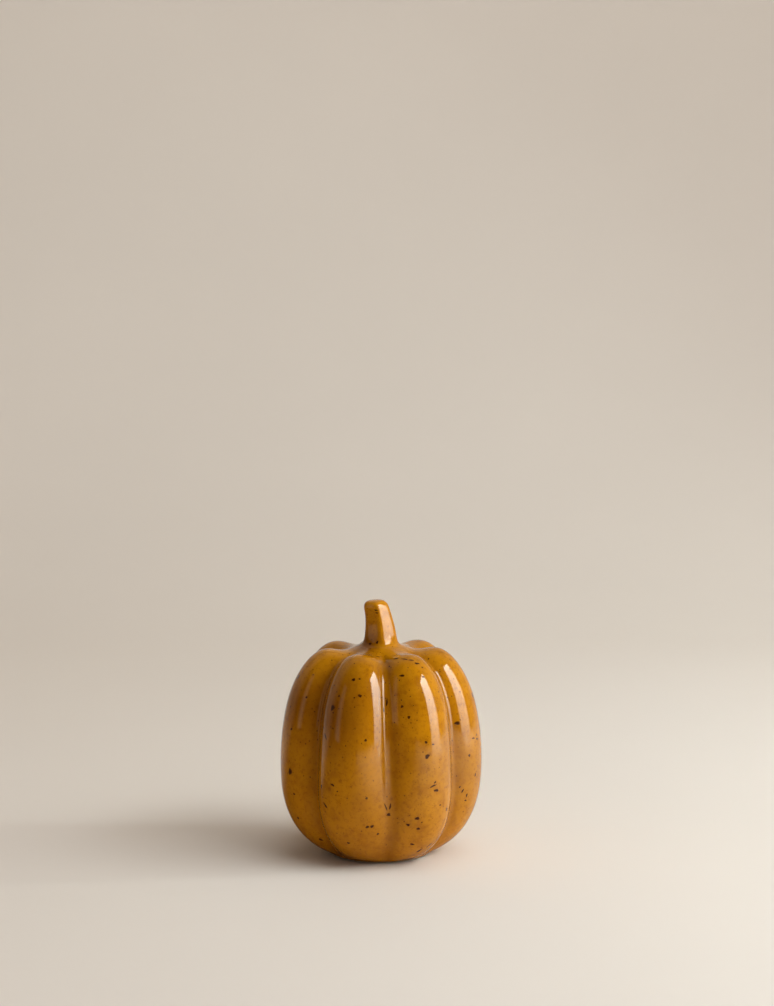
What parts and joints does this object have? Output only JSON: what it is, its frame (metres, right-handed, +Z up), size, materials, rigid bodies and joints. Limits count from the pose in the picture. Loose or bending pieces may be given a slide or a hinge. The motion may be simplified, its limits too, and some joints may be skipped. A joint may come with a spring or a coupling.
{
  "type": "ceramic pumpkin figure",
  "caption": "Glossy speckled ceramic pumpkin ornament with rounded lobes and a leaning faceted stem, hollow, standing on felt feet under a dry foot ring.",
  "frame": {"origin": "on the surface the figure stands on, under the middle of its outline", "axes": "+Z up through the stem; the front, with the groove between the two widest lobes in view, faces -Y"},
  "size_m": [0.0786, 0.0783, 0.1001],
  "materials": {
    "amber_glaze": "glossy, speckled with iron",
    "bisque_clay": "unglazed, matt, fine grit",
    "joining_slip": "unglazed, smooth",
    "felt": "pressed felt"
  },
  "bodies": {
    "root": {"body_shell": "bisque_clay", "stem": "bisque_clay", "stem_slip_joint": "joining_slip", "glaze_coat": "amber_glaze", "felt_foot_1": "felt", "felt_foot_2": "felt", "felt_foot_3": "felt", "felt_foot_4": "felt"}
  },
  "joints": []
}
